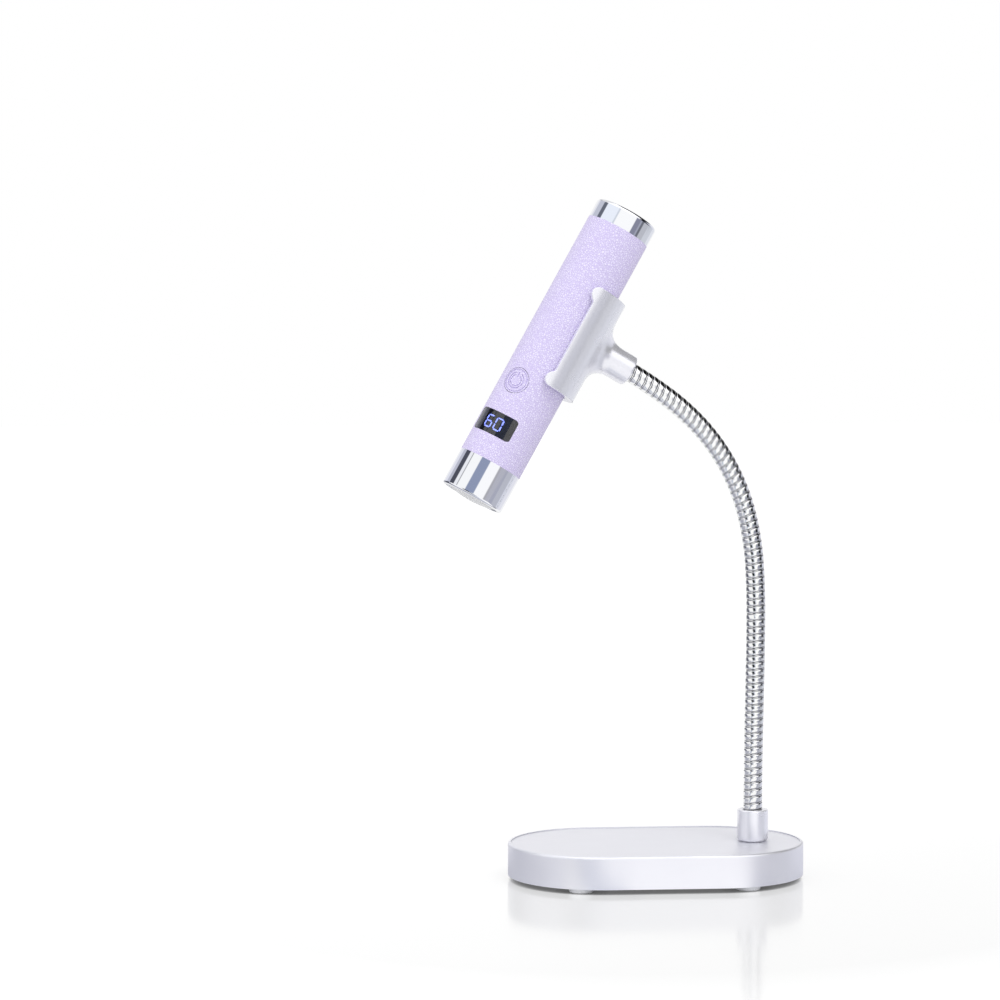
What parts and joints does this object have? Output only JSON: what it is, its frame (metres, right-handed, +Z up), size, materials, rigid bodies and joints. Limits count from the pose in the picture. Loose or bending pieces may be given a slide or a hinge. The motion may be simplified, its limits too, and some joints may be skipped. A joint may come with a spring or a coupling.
{
  "type": "uv led nail lamp",
  "caption": "Torch-shaped UV LED nail lamp with a digital timer, held in an open clip on a bendable gooseneck over a weighted round-ended base.",
  "frame": {"origin": "on the table, at the middle of the lamp's outline seen from above", "axes": "+Z up; +X from the torch's lens end towards the neck, along the base's length; -Y is the front"},
  "size_m": [0.1414, 0.071, 0.2628],
  "materials": {
    "satin_metal": "satin silver paint, faintly lilac",
    "cast_weight": "rough casting",
    "plain_steel": "zinc plated",
    "clear_silicone": "soft translucent silicone",
    "hose_chrome": "polished coiled steel",
    "leather": "pebbled lavender leather",
    "tube_aluminium": "plain turned",
    "heat_sink_brass": "plain turned",
    "chrome": "mirror polished",
    "lens_glass": "clear",
    "black_rubber": "matte",
    "reflector_metal": "mirror polished",
    "circuit_board": "green solder mask",
    "led_emitter": "clear dome over a yellow phosphor",
    "smoked_window": "smoked, gloss",
    "display_black": "matte black",
    "digit_light": "lit blue-white",
    "switch_plastic": "matte black",
    "battery_sleeve": null,
    "nickel": "nickel strip",
    "port_steel": "bright stamped"
  },
  "bodies": {
    "base": {"base_shell": "satin_metal", "base_top_plate": "satin_metal", "base_weight": "cast_weight", "base_bottom_cover": "plain_steel", "cover_screws": "plain_steel", "feet": "clear_silicone", "neck_socket": "satin_metal", "neck_stud": "plain_steel", "neck_washer": "plain_steel", "neck_nut": "plain_steel", "neck_root": "hose_chrome"},
    "link_1": {"neck_link_1": "hose_chrome"},
    "link_2": {"neck_link_2": "hose_chrome"},
    "link_3": {"neck_link_3": "hose_chrome"},
    "link_4": {"neck_link_4": "hose_chrome"},
    "link_5": {"neck_link_5": "hose_chrome"},
    "link_6": {"neck_link_6": "hose_chrome"},
    "link_7": {"neck_link_7": "hose_chrome"},
    "link_8": {"neck_link_8": "hose_chrome"},
    "link_9": {"neck_link_9": "hose_chrome"},
    "clip": {"torch_clip": "satin_metal", "neck_tip": "hose_chrome", "neck_top_stud": "plain_steel"},
    "torch": {"leather_sleeve": "leather", "torch_tube": "tube_aluminium", "head_bezel": "chrome", "lens": "lens_glass", "lens_gasket": "black_rubber", "reflector": "reflector_metal", "led_board": "circuit_board", "uv_led": "led_emitter", "heat_sink": "heat_sink_brass", "display_window": "smoked_window", "display_module": "display_black", "display_digits": "digit_light", "control_board": "circuit_board", "button_switch": "switch_plastic", "battery_cell": "battery_sleeve", "battery_tabs": "nickel", "charge_board": "circuit_board", "usb_socket": "port_steel", "tail_cap": "chrome"},
    "button": {"power_button": "leather"}
  },
  "joints": [
    {"name": "neck_nod_1", "type": "hinge", "parent": "base", "child": "link_1", "pos_m": [0.0512, 0, 0.033], "axis": [-0.1771, 0.9842, 0], "range_deg": [-7.5, 15]},
    {"name": "neck_sway_1", "type": "hinge", "parent": "link_1", "child": "link_2", "pos_m": [0.05138, 0.00003, 0.0527], "axis": [0.9841, 0.1771, -0.0151], "range_deg": [-15, 15]},
    {"name": "neck_nod_2", "type": "hinge", "parent": "link_2", "child": "link_3", "pos_m": [0.05178, 0.00011, 0.0724], "axis": [-0.1771, 0.9842, 0], "range_deg": [-7.5, 15]},
    {"name": "neck_sway_2", "type": "hinge", "parent": "link_3", "child": "link_4", "pos_m": [0.05212, 0.00017, 0.09209], "axis": [0.9842, 0.1771, -0.0094], "range_deg": [-15, 15]},
    {"name": "neck_nod_3", "type": "hinge", "parent": "link_4", "child": "link_5", "pos_m": [0.05215, 0.00017, 0.11179], "axis": [-0.1771, 0.9842, 0], "range_deg": [-7.5, 15]},
    {"name": "neck_sway_3", "type": "hinge", "parent": "link_5", "child": "link_6", "pos_m": [0.05086, -0.00006, 0.13145], "axis": [0.9717, 0.1748, 0.1586], "range_deg": [-15, 15]},
    {"name": "neck_nod_4", "type": "hinge", "parent": "link_6", "child": "link_7", "pos_m": [0.04603, -0.00093, 0.15053], "axis": [-0.1771, 0.9842, 0], "range_deg": [-7.5, 15]},
    {"name": "neck_sway_4", "type": "hinge", "parent": "link_7", "child": "link_8", "pos_m": [0.03674, -0.0026, 0.16782], "axis": [0.7976, 0.1435, 0.5859], "range_deg": [-15, 15]},
    {"name": "neck_nod_5", "type": "hinge", "parent": "link_8", "child": "link_9", "pos_m": [0.02349, -0.00499, 0.1822], "axis": [-0.1771, 0.9842, 0], "range_deg": [-7.5, 15]},
    {"name": "neck_sway_5", "type": "hinge", "parent": "link_9", "child": "clip", "pos_m": [0.00767, -0.00783, 0.19359], "axis": [0.5295, 0.0953, 0.8429], "range_deg": [-15, 15]},
    {"name": "torch_slide", "type": "slide", "parent": "clip", "child": "torch", "axis": [0.4891, 0.088, 0.8678], "range_m": [-0.078, 0.098]},
    {"name": "button_press", "type": "slide", "parent": "torch", "child": "button", "axis": [0.5038, 0.7836, -0.3635], "range_m": [0, 0.0004], "stiffness_N_per_m": 1500, "springref_m": -0.0002}
  ]
}
